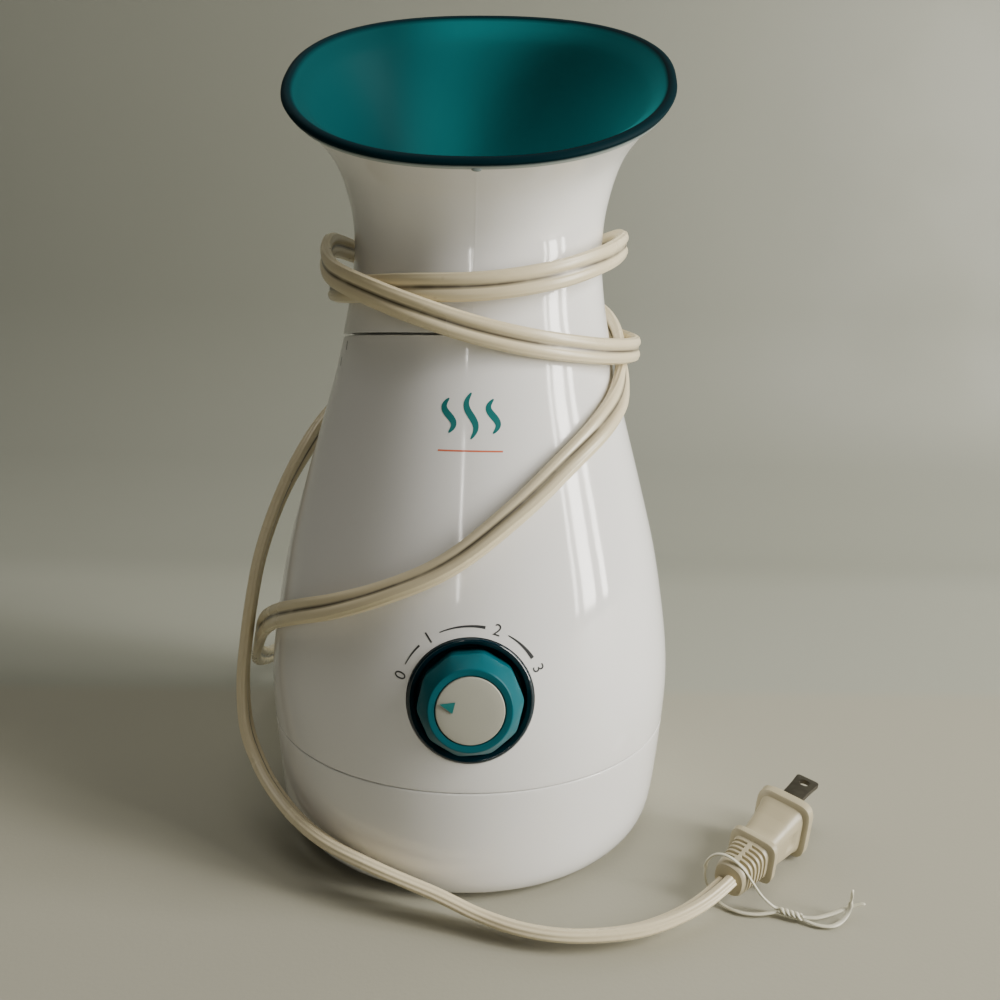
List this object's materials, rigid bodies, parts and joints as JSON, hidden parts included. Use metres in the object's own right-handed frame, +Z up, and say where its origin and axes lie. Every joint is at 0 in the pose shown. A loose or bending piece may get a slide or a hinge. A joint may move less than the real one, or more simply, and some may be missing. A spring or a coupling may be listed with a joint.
{
  "type": "facial steamer",
  "caption": "Bottle-shaped facial steamer with a tilted oval steam funnel on a lift-off head, a front rotary dial, an inner water tank and a wound two-core lead.",
  "frame": {"origin": "on the table, under the middle of the steamer's box without its lead and plug", "axes": "+Z up along the body's axis; the dial faces -Y; +X is to the right of someone who looks at the dial"},
  "size_m": [0.1966, 0.2074, 0.2578],
  "materials": {
    "white_abs": "moulded gloss",
    "teal_translucent": "clear moulded teal",
    "dark_teal": "clear moulded dark teal",
    "teal_satin": "satin moulded",
    "pale_satin": "satin moulded",
    "cord_pvc": "soft pvc",
    "blade_steel": "plated, worn",
    "screw_steel": "zinc plated",
    "shaft_brass": "turned",
    "rubber_grey": "moulded silicone",
    "boiler_alloy": "cast",
    "clear_plastic": "clear moulded",
    "switch_black": "moulded",
    "board_green": "solder mask",
    "ceramic_cream": "ceramic sleeve",
    "tie_wire": "plastic coated wire"
  },
  "bodies": {
    "root": {"base_plate": "white_abs", "foot_1": "rubber_grey", "foot_2": "rubber_grey", "foot_3": "rubber_grey", "foot_4": "rubber_grey", "base_screw_1": "screw_steel", "base_screw_2": "screw_steel", "base_screw_3": "screw_steel", "base_screw_4": "screw_steel", "base_ring": "white_abs", "body_shell": "white_abs", "inner_liner": "white_abs", "boiler": "boiler_alloy", "heater_plate": "boiler_alloy", "boiler_gasket": "rubber_grey", "thermostat": "switch_black", "thermal_fuse": "ceramic_cream", "steam_pipe": "clear_plastic", "pipe_seal": "rubber_grey", "valve_seat": "rubber_grey", "water_hose": "rubber_grey", "control_board": "board_green", "ioniser_module": "switch_black", "cord_clamp": "white_abs", "dial_bezel": "dark_teal", "rotary_switch": "switch_black", "switch_nut": "screw_steel", "mains_cord": "cord_pvc", "cord_gland": "cord_pvc", "plug_body": "cord_pvc", "plug_blade_1": "blade_steel", "plug_blade_2": "blade_steel", "cord_tie": "tie_wire"},
    "dial": {"dial_knob": "teal_satin", "dial_cap": "pale_satin", "dial_pointer": "teal_satin", "switch_shaft": "shaft_brass"},
    "seal": {"head_seal": "rubber_grey"},
    "head": {"head_shell": "white_abs", "funnel": "teal_translucent", "head_duct": "teal_translucent"},
    "tank": {"tank_body": "clear_plastic", "tank_handle": "screw_steel"},
    "valve": {"valve_plunger": "rubber_grey"}
  },
  "joints": [
    {"name": "dial_turn", "type": "hinge", "parent": "root", "child": "dial", "pos_m": [0, -0.0602, 0.0605], "axis": [0, 0.9945, -0.1045], "range_deg": [0, 143]},
    {"name": "head_turn", "type": "hinge", "parent": "root", "child": "seal", "pos_m": [0, 0.0035, 0.1528], "axis": [0, 0, 1], "range_deg": [-11, 4]},
    {"name": "head_lift", "type": "slide", "parent": "seal", "child": "head", "axis": [0, 0, 1], "range_m": [0, 0.2]},
    {"name": "tank_lift", "type": "slide", "parent": "root", "child": "tank", "axis": [0, 0, 1], "range_m": [0, 0.1]},
    {"name": "valve_close", "type": "slide", "parent": "tank", "child": "valve", "axis": [0, 0, 1], "range_m": [-0.0036, 0]}
  ],
  "couplings": [
    {"joint": "tank_lift", "follows": "head_lift", "ratio": 0.5},
    {"joint": "valve_close", "follows": "head_lift", "ratio": -0.018}
  ]
}
